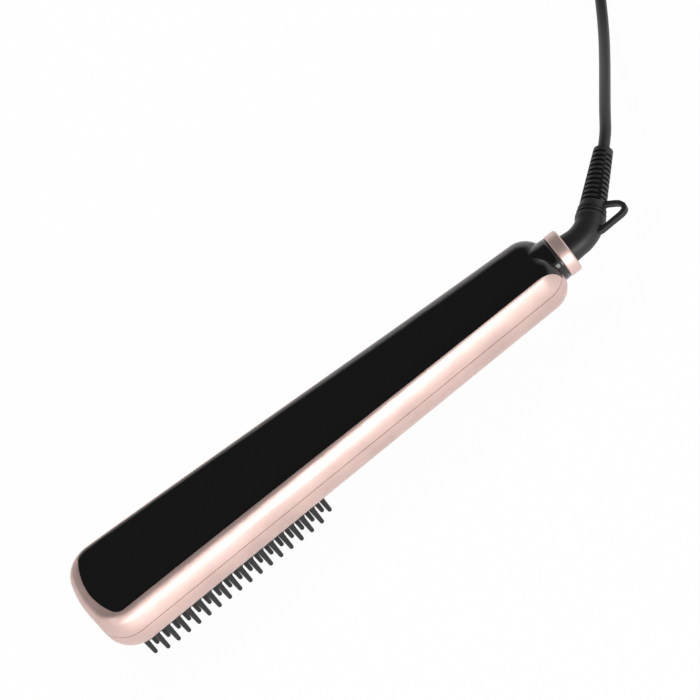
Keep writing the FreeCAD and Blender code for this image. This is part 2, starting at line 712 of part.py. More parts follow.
# Display window, display and control board on its posts
piece(fuse("lens", [
    box("lens_face", at("display_start", "-display_width / 2", "seam_gap", "belly_frame"),
        "display_length", "display_width", "wall"),
    box("lens_lip", at("display_start - display_lip", "-display_width / 2 - display_lip", "wall", "belly_frame"),
        "display_length + 2 * display_lip", "display_width + 2 * display_lip", "display_lip"),
]), "display_window")
display_bore = box("display_bore", at("display_start - window_gap", "-display_width / 2 - window_gap", "-wall",
                                      "belly_frame"), "display_length + 2 * window_gap",
                   "display_width + 2 * window_gap", "2 * wall")
piece(box("display", at("display_start", "-display_width / 2", "board_height - display_depth", "belly_frame"),
          "display_length", "display_width", "display_depth"), "display_module")
board_posts, board_pilots, board_bores, board_screw_solids = [], [], [], []
for i, (end, side) in enumerate([(0, -1), (0, 1), (1, -1), (1, 1)]):
    x = "board_start + board_post_inset" if end == 0 else "board_start + board_length - board_post_inset"
    y = "%d * (board_width / 2 - board_post_inset)" % side
    board_posts.append(cylinder("board_post_%d" % i, at(x, y, "wall / 2", "belly_frame"),
                                "board_post_radius", "board_height - wall / 2"))
    board_pilots.append(cylinder("board_pilot_%d" % i, at(x, y, "2 * wall", "belly_frame"),
                                 "small_screw_radius + thread_gap", "board_height"))
    board_bores.append(cylinder("board_bore_%d" % i, at(x, y, "0", "belly_frame"),
                                "small_screw_radius + seam_gap", "2 * board_height"))
    board_screw_solids.append(fuse("board_screw_%d" % i, [
        cylinder("board_head_%d" % i, at(x, y, "board_height + board_thickness", "belly_frame"),
                 "screw_head_radius", "screw_head_height"),
        cylinder("board_shank_%d" % i, at(x, y, "2 * wall + thread_gap", "belly_frame"), "small_screw_radius",
                 "board_height + board_thickness - 2 * wall - thread_gap"),
    ]))
board_blank = box("board_blank", at("board_start", "-board_width / 2", "board_height", "belly_frame"),
                  "board_length", "board_width", "board_thickness")
piece(cut("board", board_blank, fuse("board_holes", board_bores)), "control_board")
group("board_screws", board_screw_solids)

# Rose-gold shell on the bristle side, with its bosses, window, bores and half of the bulkhead
front_wall = common("front_wall", hollow_form, lower_space)
front_rib = common("front_rib", bulkhead, lower_space)
boss_room = common("boss_room", fuse("boss_posts", shell_bosses + heater_bosses + board_posts), outer_form)
front_blank = fuse("front_blank", [front_wall, front_rib, boss_room])
front_holes = fuse("front_holes", [neck_path, window, display_bore] + button_bores + shell_bores
                   + heater_pilots + board_pilots)
piece(cut("front", front_blank, front_holes), "front_shell")
doc.recompute()

# Neck sleeve held by the bulkhead, the collar ring on its spigot, and the spool that turns inside
shoulder = "-bulkhead_start + bulkhead_thickness + seam_gap"
spigot = "(neck_radius - neck_flange_drop)"
spigot_end = "-ring_width + ring_spigot"
piece(turned("neck", [
    ("-neck_inner_end", "neck_bore"), ("-neck_inner_end", spigot),
    ("-bulkhead_start - seam_gap", spigot), ("-bulkhead_start - seam_gap", neck_groove),
    (shoulder, neck_groove), (shoulder, "neck_radius"), ("-ring_width", "neck_radius"),
    ("-ring_width", spigot), (spigot_end, spigot), (spigot_end, "neck_bore"),
]), "neck_sleeve")
lip_bore = "elbow_foot_radius + swivel_gap"
piece(turned("ring", [
    ("-ring_width", spigot + " + thread_gap"), ("-ring_width", "ring_radius - ring_bevel"),
    ("-ring_width + ring_bevel", "ring_radius"), ("-ring_bevel", "ring_radius"),
    ("0", "ring_radius - ring_bevel"), ("0", lip_bore), ("-ring_lip", lip_bore),
    ("-ring_lip", "ring_recess_radius"), (spigot_end, "ring_recess_radius"),
    (spigot_end, spigot + " + thread_gap"),
]), "collar_ring")
shaft = "neck_bore - running_gap"
spool_front = spigot_end + " + swivel_gap"
groove_front = "-neck_inner_end - swivel_gap"
groove_back = groove_front + " - clip_thickness"
spool_step = groove_back + " - clip_thickness"
piece(turned("spool", [
    (spool_front, "spool_bore"), (spool_front, shaft), (groove_front, shaft),
    (groove_front, "clip_groove_radius"), (groove_back, "clip_groove_radius"), (groove_back, shaft),
    (spool_step, shaft), (spool_step, "spool_tail_radius"),
    (spool_step + " - spool_tail", "spool_tail_radius"), (spool_step + " - spool_tail", "spool_bore"),
]), "swivel_spool")

# Clip in the spool's groove, two slip rings on its tail, and the leaves that lie beside them
clip_start = groove_back + " + thread_gap"
clip_width = "clip_thickness - 2 * thread_gap"
clip_disc = cut("clip_disc", cylinder("clip_rim", along_neck(clip_start), "clip_radius", clip_width),
                cylinder("clip_bore", along_neck(clip_start), "clip_groove_radius + thread_gap", clip_width))
clip_mouth = box("clip_mouth", at("%s + %s" % (RING_END, clip_start), "-clip_groove_radius * 0.75", "axis_height"),
                 clip_width, "clip_groove_radius * 1.5", "2 * clip_radius")
piece(cut("clip", clip_disc, clip_mouth), "retaining_clip")
ring_solids, leaf_solids = [], []
leaf_foot = "wall + terminal_height"
for i, side in enumerate((1, -1)):
    start = "%s - slip_ring_width * 1.5 - %d * slip_ring_spacing" % (spool_step, i)
    ring_solids.append(cut("slip_ring_%d" % i,
                           cylinder("slip_rim_%d" % i, along_neck(start), "slip_ring_radius", "slip_ring_width"),
                           cylinder("slip_bore_%d" % i, along_neck(start), "spool_tail_radius + thread_gap",
                                    "slip_ring_width")))
    near = "slip_ring_radius + leaf_gap" if side > 0 else "-slip_ring_radius - leaf_gap - leaf_thickness"
    leaf_solids.append(box("leaf_%d" % i, at("overall_length + " + start, near, leaf_foot, "belly_frame"),
                           "slip_ring_width", "leaf_thickness", "slip_ring_radius * 2"))
group("slip_rings", ring_solids)
group("contact_leaves", leaf_solids)
block_start = "overall_length + %s - spool_tail" % spool_step
terminals = box("terminals", at(block_start, "-terminal_width / 2", "wall / 2", "belly_frame"),
                "spool_tail", "terminal_width", "terminal_height + wall / 2")
piece(common("terminals_on_wall", terminals, inner_form), "terminal_block")

# Elbow with its flange inside the ring, and the slotted strain relief
flange_back = spigot_end + " + swivel_gap"
flange_front = "-ring_lip - swivel_gap"
foot = turned("elbow_foot", [
    (flange_back, "0"), (flange_back, "ring_recess_radius - swivel_gap"),
    (flange_front, "ring_recess_radius - swivel_gap"), (flange_front, "elbow_foot_radius"),
    ("0", "elbow_foot_radius"), ("elbow_straight", "elbow_radius"), ("elbow_straight", "0"),
])
bend = doc.addObject("Part::Torus", "elbow_bend")
bind(bend, Radius1="elbow_bend_radius", Radius2="elbow_radius", Angle3="elbow_angle",
     Placement=at(RING_END + " + elbow_straight", "elbow_bend_radius", "axis_height", axis=(0, 0, 1), angle=-90))
relief = doc.addObject("Part::Cone", "relief_cone")
bind(relief, Radius1="elbow_radius", Radius2="relief_tip_radius", Height="relief_length",
     Placement=at("0", "0", "0", "relief_frame", angle=90))
elbow_form = fuse("elbow_form", [foot, bend, relief])
ridges = []
for i in range(3):
    start = "relief_slot_width * (1 + %d * 1.8)" % i
    ridges.append(cylinder("ridge_%d" % i, at(start, "0", "0", "relief_frame", angle=90),
                           "elbow_radius + ridge_height - ridge_height * %d / 2" % i, "relief_slot_width * 0.8"))
slot_pitch = "(relief_length - relief_slot_start - 3 * relief_slot_width) / (relief_slots - 1)"
slot_tools = []
for i in range(int(d.relief_slots)):
    start = "relief_slot_start + %d * %s" % (i, slot_pitch)
    for side in (1, -1):
        slot_tools.append(box("face_slot_%d_%s" % (i, "up" if side > 0 else "down"),
                              at(start, "-2 * elbow_radius",
                                 "relief_core" if side > 0 else "-relief_core - elbow_radius", "relief_frame"),
                              "relief_slot_width", "4 * elbow_radius", "elbow_radius"))
        if i == 0:
            continue
        between = "%s - %s / 2" % (start, slot_pitch)
        slot_tools.append(box("side_slot_%d_%s" % (i, "left" if side > 0 else "right"),
                              at(between, "relief_core" if side > 0 else "-relief_core - elbow_radius",
                                 "-2 * elbow_radius", "relief_frame"),
                              "relief_slot_width", "elbow_radius", "4 * elbow_radius"))
mouth_bore = cylinder("mouth_bore", at("relief_length - relief_mouth_depth", "0", "0", "relief_frame", angle=90),
                      "cord_diameter / 2 + mouth_gap", "2 * relief_mouth_depth")
elbow_blank = fuse("elbow_blank", [elbow_form] + ridges)
piece(cut("elbow", elbow_blank, fuse("relief_cuts", slot_tools + [mouth_bore])), "cord_elbow")

# Hang loop: a flat band on the elbow's outer side
loop = new_body("loop_band", "relief_frame")
loop_plan = new_sketch(loop, "loop_plan", "XY_Plane")
polygon(loop_plan, [(str(u), str(-v)) for u, v in LOOP_OUTLINE])
loop_pad = pad(loop, loop_plan, "loop_width", symmetric=True)
loop_round = round_edges(loop, loop_pad, upright, "loop_round")
eye_plan = new_sketch(loop, "eye_plan", "XY_Plane")
polygon(eye_plan, [(str(u), str(-v)) for u, v in LOOP_EYE])
eye = pocket(loop, eye_plan, "2 * loop_width", symmetric=True)
eye_middle = sum((VECTOR(u, -v, 0) for u, v in LOOP_EYE), VECTOR()) * (1 / len(LOOP_EYE))
eye_reach = max((VECTOR(u, -v, 0) - eye_middle).Length for u, v in LOOP_EYE)


def around_eye(edge):
    centre = edge.CenterOfMass
    return upright(edge) and (VECTOR(centre.x, centre.y, 0) - eye_middle).Length < eye_reach + 0.01


round_edges(loop, eye, around_eye, "eye_round")
piece(cut("loop", loop, elbow_blank), "hang_loop")


def soft_wire(points):
    """Straight runs with a tangent arc at each corner."""
    edges, start = [], points[0]
    for before, corner, after in zip(points, points[1:], points[2:]):
        run_in, run_out = corner - before, after - corner
        reach = 0.45 * min(run_in.Length, run_out.Length)
        near = corner - run_in * (reach / run_in.Length)
        far = corner + run_out * (reach / run_out.Length)
        half_turn = run_in.getAngle(run_out) / 2
        inwards = (near + far) * 0.5 - corner
        radius = reach / math.tan(half_turn)
        middle = corner + inwards * ((radius / math.cos(half_turn) - radius) / inwards.Length)
        edges += [Part.makeLine(start, near), Part.Arc(near, middle, far).toShape()]
        start = far
    edges.append(Part.makeLine(start, points[-1]))
    return Part.Wire(edges)


def tube(wire, radius):
    """A round solid along a wire."""
    first = wire.OrderedEdges[0]
    start, heading = first.valueAt(first.FirstParameter), first.tangentAt(first.FirstParameter)
    section = Part.Wire([Part.makeCircle(radius, start, heading)])
    return wire.makePipeShell([section], True, False)


def solid_piece(label, shape, frame=None):
    feature = doc.addObject("Part::Feature", label + "_solid")
    feature.Shape = shape
    if frame is not None:
        feature.setExpression("Placement", frame + ".Placement")
    return piece(feature, label)


# Inner leads: from the terminal block to the board, and from the board to the heaters
board_middle = d.board_height + d.board_thickness / 2
board_tail = d.board_start + d.board_length
block_face = d.overall_length - d.neck_inner_end - d.swivel_gap - 2 * d.clip_thickness - d.spool_tail
block_middle = d.wall + d.terminal_height / 2
lead_side = d.case_boss_radius + 2.6 * d.lead_radius
third = (block_face - board_tail) / 3
solid_piece("mains_leads", Part.makeCompound([
    tube(soft_wire([VECTOR(block_face, side * lead_side, block_middle),
                    VECTOR(block_face - third, side * lead_side, block_middle),
                    VECTOR(board_tail + third, side * lead_side, board_middle),
                    VECTOR(board_tail, side * lead_side, board_middle)]), d.lead_radius)
    for side in (1, -1)]), "belly_frame")
heater_face = d.field_start + d.field_length / 2 + d.ptc_spacing / 2 + d.ptc_length / 2
heater_middle = d.plate_thickness - d.plate_proud + d.heating_plate_thickness + d.ptc_thickness / 2
heater_side = d.clamp_width / 2 + 1.5 * d.lead_radius
third = (d.board_start - heater_face) / 3
solid_piece("heater_leads", Part.makeCompound([
    tube(soft_wire([VECTOR(d.board_start, side * heater_side, board_middle),
                    VECTOR(d.board_start - third, side * heater_side, board_middle),
                    VECTOR(heater_face + third, side * heater_side, heater_middle),
                    VECTOR(heater_face, side * heater_side, heater_middle)]), d.lead_radius)
    for side in (1, -1)]), "belly_frame")

# Mains lead from the bottom of the relief's mouth, down to the floor and on to the coil
doc.recompute()
relief_place = relief_frame.Placement
mouth = relief_place.multVec(VECTOR(d.relief_length, 0, 0))
outwards = relief_place.Rotation.multVec(VECTOR(1, 0, 0))
cord_points = [mouth - outwards * d.relief_mouth_depth, mouth + outwards * d.cord_lead_out]
cord_radius = d.cord_diameter / 2
low_layer = d.coil_lift + cord_radius
drop = mouth.z - low_layer
cord_points += [mouth + VECTOR(x, y, -drop * share) for x, y, share in CORD_ROUTE]
cord_wire = soft_wire(cord_points)
solid_piece("cord", tube(cord_wire, cord_radius))


def biarc(start, start_heading, end, end_heading):
    """Two arcs that meet smoothly and keep the headings at both ends."""
    chord = end - start
    both = start_heading + end_heading
    a = 2 * (1 - start_heading.dot(end_heading))
    b = 2 * chord.dot(both)
    reach = (-b + math.sqrt(b * b + 4 * a * chord.dot(chord))) / (2 * a)
    first = start + start_heading * reach
    last = end - end_heading * reach
    joint = (first + last) * 0.5
    return [arc_from(start, start_heading, joint), arc_from(end, end_heading * -1, joint)]


def arc_from(start, heading, end):
    chord = end - start
    across = chord - heading * chord.dot(heading)
    radius = chord.dot(chord) / (2 * across.Length)
    aside = across * (1 / across.Length)
    centre = start + aside * radius
    middle = centre + ((start + end) * 0.5 - centre).normalize() * radius
    return Part.Arc(start, middle, end).toShape()


# Coil: in along the floor, up where the spiral turns back, and out on the upper layer
quarters = int(d.coil_quarters) * 2 + 2
turning = quarters / 2
quarter_step = d.coil_pitch / 4
least_radius = d.coil_inner_radius - quarter_step
outer_radius = least_radius + turning * quarter_step
arrival = (cord_points[-1] - cord_points[-2]).normalize()
right_hand = VECTOR(arrival.y, -arrival.x, 0)
coil_start = cord_points[-1] + arrival * d.cord_diameter
slant = math.atan2(quarter_step, math.pi / 2 * outer_radius)
inwards = right_hand * math.cos(slant) - arrival * math.sin(slant)
coil_centre = coil_start + inwards * outer_radius
coil_centre.z = low_layer
first_angle = math.atan2(-inwards.y, -inwards.x)


def coil_node(quarter):
    """Position and heading of the lead after a number of quarter turns."""
    angle = first_angle - quarter * math.pi / 2
    radius = least_radius + quarter_step * abs(quarter - turning)
    share = min(1.0, max(0.0, (quarter - turning + 1) / 2))
    rise = d.coil_layer_pitch * share * share * (3 - 2 * share)
    climb = d.coil_layer_pitch * 3 * share * (1 - share)
    growth = quarter_step * (0 if quarter == turning else math.copysign(1, quarter - turning))
    out = VECTOR(math.cos(angle), math.sin(angle), 0)
    round_ = VECTOR(out.y, -out.x, 0) * (radius * math.pi / 2)
    heading = out * growth + round_ + VECTOR(0, 0, climb)
    return coil_centre + out * radius + VECTOR(0, 0, rise), heading.normalize()


coil_edges = [Part.makeLine(cord_points[-1], coil_start)]
for quarter in range(quarters):
    coil_edges += biarc(*coil_node(quarter), *coil_node(quarter + 1))
coil_end, departure = coil_node(quarters)
plug_entry = coil_end + departure * d.coil_tail
coil_edges.append(Part.makeLine(coil_end, plug_entry))
coil_wire = Part.Wire(coil_edges)
solid_piece("cord_coil", tube(coil_wire, cord_radius))

# Tie round the bundle
tie_frame = doc.addObject("App::Placement", "tie_frame")
tie_angle = first_angle - math.pi / 2
tie_frame.Placement = FreeCAD.Placement(VECTOR(coil_centre.x, coil_centre.y, 0),
                                        FreeCAD.Rotation(VECTOR(0, 0, 1), math.degrees(tie_angle)))
tie_inner = "(coil_inner_radius + coil_pitch / 4 - cord_diameter / 2 - 2 * tie_gap)"
tie_outer = "(coil_inner_radius + (coil_quarters - 1) * coil_pitch / 4 + cord_diameter / 2 + tie_gap)"
tie_low = "(coil_lift - tie_gap / 2)"
tie_high = "(coil_lift + coil_layer_pitch + cord_diameter + tie_gap)"
tie_hole = box("tie_hole", at(tie_inner, "-tie_width", tie_low, "tie_frame"),
               "%s - %s" % (tie_outer, tie_inner), "2 * tie_width", "%s - %s" % (tie_high, tie_low))
tie_band = box("tie_band", at(tie_inner + " - tie_thickness", "-tie_width / 2", tie_low + " - tie_thickness",
                              "tie_frame"), "%s - %s + 2 * tie_thickness" % (tie_outer, tie_inner), "tie_width",
               "%s - %s + 2 * tie_thickness" % (tie_high, tie_low))
piece(cut("tie", tie_band, tie_hole), "cord_tie")

# Flat two-pin plug on the end of the lead
plug_frame = doc.addObject("App::Placement", "plug_frame")
plug_frame.Placement = FreeCAD.Placement(plug_entry + departure * d.seam_gap, FreeCAD.Rotation(
    VECTOR(0, 0, 1), math.degrees(math.atan2(departure.y, departure.x))))
plug_low = "(plug_floor_gap - coil_lift - cord_diameter / 2 - coil_layer_pitch)"
plug_high = "(%s + plug_height)" % plug_low
plug_block = new_body("plug_block", "plug_frame")
plug_plan = new_sketch(plug_block, "plug_plan", "XY_Plane", lift=plug_low)
polygon(plug_plan, [("plug_waist", "-plug_width / 2"), ("plug_length", "-plug_width / 2"),
                    ("plug_length", "plug_width / 2"), ("plug_waist", "plug_width / 2")])
plug_pad = pad(plug_block, plug_plan, "plug_height")
round_edges(plug_block, plug_pad, lambda edge: True, "plug_round")
boot = doc.addObject("Part::Wedge", "plug_boot_form")
bind(boot, Xmin="-plug_boot", Xmax="plug_boot", Ymin="0", Ymax="plug_waist + plug_round",
     Zmin="-plug_boot", Zmax="plug_boot",
     X2min="plug_round - plug_width / 2", X2max="plug_width / 2 - plug_round",
     Z2min=plug_low + " + plug_round", Z2max=plug_high + " - plug_round",
     Placement=at("0", "0", "0", "plug_frame", axis=(0, 0, 1), angle=-90))
piece(fuse("plug", [plug_block, boot]), "plug_body")
pin_height = "(%s + plug_height / 2)" % plug_low
pin_solids = []
for i, side in enumerate((1, -1)):
    across = "%d * pin_spacing / 2" % side
    tip = doc.addObject("Part::Cone", "pin_tip_%d" % i)
    bind(tip, Radius1="pin_radius", Radius2="pin_radius / 2", Height="pin_radius / 2",
         Placement=at("plug_length + pin_length - pin_radius / 2", across, pin_height, "plug_frame", angle=90))
    shank = cylinder("pin_shank_%d" % i, at("plug_length", across, pin_height, "plug_frame", angle=90),
                     "pin_radius", "pin_length - pin_radius / 2")
    pin_solids.append(fuse("pin_%d" % i, [shank, tip]))
group("plug_pins", pin_solids)
doc.recompute()


def least_gap(wire, diameter):
    """The least distance between two turns of a tube, from points along its middle."""
    points = wire.discretize(Distance=diameter / 3)
    apart = int(3 * math.pi)
    least = min((points[i] - points[j]).Length for i in range(len(points))
                for j in range(i + apart, len(points)))
    return least - diameter


for name, wire in (("cord", cord_wire), ("cord_coil", coil_wire)):
    radii = [edge.Curve.Radius for edge in wire.Edges if hasattr(edge.Curve, "Radius")]
    volume = [obj.Shape.Volume for obj in PIECES if obj.Label == name][0]
    print("%s: length %.1f, least radius %.2f, volume %.1f, section by length %.1f"
          % (name, wire.Length, min(radii), volume, math.pi * cord_radius ** 2 * wire.Length))
print("cord_coil: least gap to itself %.2f" % least_gap(coil_wire, d.cord_diameter))

# Every object is sound before the pieces are written out
faults = [obj.Name for obj in doc.Objects if "Invalid" in obj.State or "Error" in obj.State]
faults += [obj.Label for obj in PIECES if obj.Shape.isNull() or not obj.Shape.isValid()]
if faults:
    raise RuntimeError("not sound: " + ", ".join(faults))
os.makedirs("parts", exist_ok=True)
for obj in PIECES:
    obj.Shape.exportStep("parts/%s.step" % obj.Label)
print("pieces written: %d" % len(PIECES))
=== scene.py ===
# %% [markdown]
# # Hair straightening brush
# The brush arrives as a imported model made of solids, one for each real piece. This lesson dresses it: every
# piece gets its finish, the rounded ones get smooth skins, a few small forms are added, and the lead becomes
# one soft curve. Blender works in metres. Lengths written in millimetres are multiplied by MM. +X runs from
# the head to the cord.

# %% Load the frame
import bpy
import bmesh
import json
import math
from mathutils import Matrix, Vector
from mathutils.bvhtree import BVHTree

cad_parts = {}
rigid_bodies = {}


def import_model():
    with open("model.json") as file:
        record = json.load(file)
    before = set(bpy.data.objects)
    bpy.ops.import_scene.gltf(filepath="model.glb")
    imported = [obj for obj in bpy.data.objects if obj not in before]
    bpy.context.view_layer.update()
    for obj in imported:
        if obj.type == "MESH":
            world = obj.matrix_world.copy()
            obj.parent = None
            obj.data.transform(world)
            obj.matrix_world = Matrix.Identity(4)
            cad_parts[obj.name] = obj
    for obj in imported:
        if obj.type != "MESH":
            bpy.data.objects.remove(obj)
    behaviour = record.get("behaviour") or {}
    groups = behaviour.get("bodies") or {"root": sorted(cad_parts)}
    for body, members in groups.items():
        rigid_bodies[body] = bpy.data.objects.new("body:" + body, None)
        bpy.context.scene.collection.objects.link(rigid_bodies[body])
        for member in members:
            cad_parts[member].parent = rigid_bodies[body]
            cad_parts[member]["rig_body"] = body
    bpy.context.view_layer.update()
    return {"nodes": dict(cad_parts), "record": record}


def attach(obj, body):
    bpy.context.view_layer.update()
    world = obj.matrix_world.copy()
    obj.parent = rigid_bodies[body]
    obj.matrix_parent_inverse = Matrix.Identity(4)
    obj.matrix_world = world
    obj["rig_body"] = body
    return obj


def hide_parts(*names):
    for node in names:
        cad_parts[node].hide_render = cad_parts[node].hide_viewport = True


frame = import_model()
MM = 0.001
scene = bpy.context.scene
scene.view_settings.view_transform = "Standard"

# %% [markdown]
# ## Camera
# The picture is taken with a long lens from the side and above, so the lines of the brush hardly converge.
# The camera is turned about its own axis, which puts the brush on the diagonal. Its place was found by
# matching the bristle tips, the panel's edge and the parting line with the picture.

# %% Set the camera
PICTURE = 700.0
FOCAL_PIXELS = 5000.0
SENSOR_WIDTH = 36.0
CAMERA_PLACE = Vector((32.9, -1597.5, 1728.7)) * MM
AZIMUTH, ELEVATION, ROLL = math.radians(90.07), math.radians(-46.11), math.radians(-37.24)

camera = bpy.data.objects.new("camera", bpy.data.cameras.new("camera"))
scene.collection.objects.link(camera)
camera.data.sensor_width = SENSOR_WIDTH
camera.data.lens = FOCAL_PIXELS / PICTURE * SENSOR_WIDTH
camera.data.clip_end = 20.0
ahead = Vector((math.cos(ELEVATION) * math.cos(AZIMUTH), math.cos(ELEVATION) * math.sin(AZIMUTH),
                math.sin(ELEVATION)))
level = ahead.cross(Vector((0, 0, 1))).normalized()
upright = level.cross(ahead)
right = level * math.cos(ROLL) + upright * math.sin(ROLL)
up = upright * math.cos(ROLL) - level * math.sin(ROLL)
turn = Matrix((right, up, -ahead)).transposed().to_4x4()
camera.matrix_world = Matrix.Translation(CAMERA_PLACE) @ turn
scene.camera = camera
print("lens %.0f mm" % camera.data.lens)

# %% [markdown]
# ## Floor
# The brush lies on a white paper sweep, as in a small studio. A Light Path node tells the rays apart: to the
# camera and in every reflection the paper shows white, and a small share of matt paper keeps a faint shadow.
# All other light meets plain matt paper, so the white doesn't add light to the brush.

# %% Build the floor
SEEN_RAYS = ["Is Camera Ray", "Is Glossy Ray", "Is Transmission Ray"]
FLOOR_REACH = 3.0
WHITE_SHARE = 0.97


def add_node(tree, kind, **inputs):
    """A shader node with values set on its sockets."""
    node = tree.nodes.new(kind)
    for name, value in inputs.items():
        node.inputs[name.replace("_", " ")].default_value = value
    return node


def seen_ray(tree):
    """One for a ray that shows the room: to the camera, in a reflection or through glass."""
    light_path = tree.nodes.new("ShaderNodeLightPath")
    total = light_path.outputs[SEEN_RAYS[0]]
    for name in SEEN_RAYS[1:]:
        either = tree.nodes.new("ShaderNodeMath")
        either.operation = "MAXIMUM"
        tree.links.new(total, either.inputs[0])
        tree.links.new(light_path.outputs[name], either.inputs[1])
        total = either.outputs[0]
    return total


floor_mesh = bpy.data.meshes.new("floor")
sheet = bmesh.new()
bmesh.ops.create_grid(sheet, x_segments=1, y_segments=1, size=FLOOR_REACH)
sheet.to_mesh(floor_mesh)
sheet.free()
floor = bpy.data.objects.new("floor", floor_mesh)
scene.collection.objects.link(floor)

paper = bpy.data.materials.new("white_paper")
paper.use_nodes = True
tree = paper.node_tree
tree.nodes.clear()
matt = add_node(tree, "ShaderNodeBsdfDiffuse", Color=(0.86, 0.86, 0.86, 1))
glow = add_node(tree, "ShaderNodeEmission", Color=(1, 1, 1, 1), Strength=1.0)
white_share = tree.nodes.new("ShaderNodeMath")
white_share.operation = "MULTIPLY"
white_share.inputs[1].default_value = WHITE_SHARE
tree.links.new(seen_ray(tree), white_share.inputs[0])
blend = tree.nodes.new("ShaderNodeMixShader")
tree.links.new(white_share.outputs[0], blend.inputs["Fac"])
tree.links.new(matt.outputs[0], blend.inputs[1])
tree.links.new(glow.outputs[0], blend.inputs[2])
output = tree.nodes.new("ShaderNodeOutputMaterial")
tree.links.new(blend.outputs[0], output.inputs["Surface"])
floor.data.materials.append(paper)
print("floor: %.0f m wide" % (2 * FLOOR_REACH))

# %% [markdown]
# ## Room
# Paint and gloss show what stands around them, so the world is built as a room. It is white near the horizon,
# as studio walls are, and dark overhead: the flat black back mirrors the overhead part, so it stays black,
# while its rounded shoulder catches the wall. A weak even fill is the light that comes from all sides.

# %% Build the room
WALL_TOP, CEILING_EDGE = 0.30, 0.62
CEILING_GREY = 0.10
FILL_STRENGTH = 0.35

world = bpy.data.worlds.new("studio")
scene.world = world
world.use_nodes = True
tree = world.node_tree
tree.nodes.clear()
coordinate = tree.nodes.new("ShaderNodeTexCoord")
height = tree.nodes.new("ShaderNodeSeparateXYZ")
tree.links.new(coordinate.outputs["Generated"], height.inputs[0])
ceiling = tree.nodes.new("ShaderNodeValToRGB")
ceiling.color_ramp.elements[0].position = WALL_TOP
ceiling.color_ramp.elements[0].color = (1, 1, 1, 1)
ceiling.color_ramp.elements[1].position = CEILING_EDGE
ceiling.color_ramp.elements[1].color = (CEILING_GREY, CEILING_GREY, CEILING_GREY, 1)
tree.links.new(height.outputs["Z"], ceiling.inputs["Fac"])
seen_room = add_node(tree, "ShaderNodeBackground", Strength=1.0)
soft_fill = add_node(tree, "ShaderNodeBackground", Color=(1, 1, 1, 1), Strength=FILL_STRENGTH)
tree.links.new(ceiling.outputs["Color"], seen_room.inputs["Color"])
room = tree.nodes.new("ShaderNodeMixShader")
tree.links.new(seen_ray(tree), room.inputs["Fac"])
tree.links.new(soft_fill.outputs[0], room.inputs[1])
tree.links.new(seen_room.outputs[0], room.inputs[2])
output = tree.nodes.new("ShaderNodeOutputWorld")
tree.links.new(room.outputs[0], output.inputs["Surface"])
print("room: fill %.2f" % FILL_STRENGTH)

# %% [markdown]
# ## Lamps
# A long, low box in front draws the bright band along the painted side. A small key above and behind, a box
# at the head and one at the cord round off the rest. The key and the cord box are kept out of reflections,
# because their outlines would show as odd patches on the black plastic.

# %% Set the lamps


def softbox(name, place, target, width, height, power):
    """A flat lamp that looks at a point."""
    lamp = bpy.data.lights.new(name, "AREA")
    lamp.shape = "ELLIPSE"
    lamp.size = width
    lamp.size_y = height
    lamp.energy = power
    holder = bpy.data.objects.new(name, lamp)
    place, target = Vector(place), Vector(target)
    aim = (target - place).to_track_quat("-Z", "Y").to_matrix().to_4x4()
    holder.matrix_world = Matrix.Translation(place) @ aim
    scene.collection.objects.link(holder)
    return holder


softbox("front_box", (-0.05, -1.2, 0.24), (0, 0, 0.03), 1.9, 0.46, 12)
key_box = softbox("key_box", (0.0, 0.55, 1.2), (0, -0.05, 0), 0.6, 0.4, 5)
softbox("head_box", (-1.1, -0.5, 0.8), (-0.1, 0, 0.03), 0.6, 0.6, 2)
cord_box = softbox("cord_box", (1.1, 0.6, 1.1), (0.15, 0.1, 0.02), 0.7, 0.7, 4)
for unmirrored in (key_box, cord_box):
    unmirrored.visible_glossy = False
print("lamps:", sorted(lamp.name for lamp in bpy.data.lights))

# %% [markdown]
# ## Finishes
# On the real brush the shells are moulded plastic with a metallic paint, the back is bare gloss black, the
# bristles are nylon and the lead is soft rubber. Each finish is a Principled shader with fine noise on Object
# coordinates, which stays with a piece when it moves: the noise shifts the tint and the roughness a little
# and gives a shallow grain. Colours are written as they should look under plain light.

# %% Make the finishes
COAT_ROUGHNESS = 0.05
TINT_CHANGE = 0.06
ROUGHNESS_CHANGE = 0.15
GRAIN_DEPTH = 0.0002


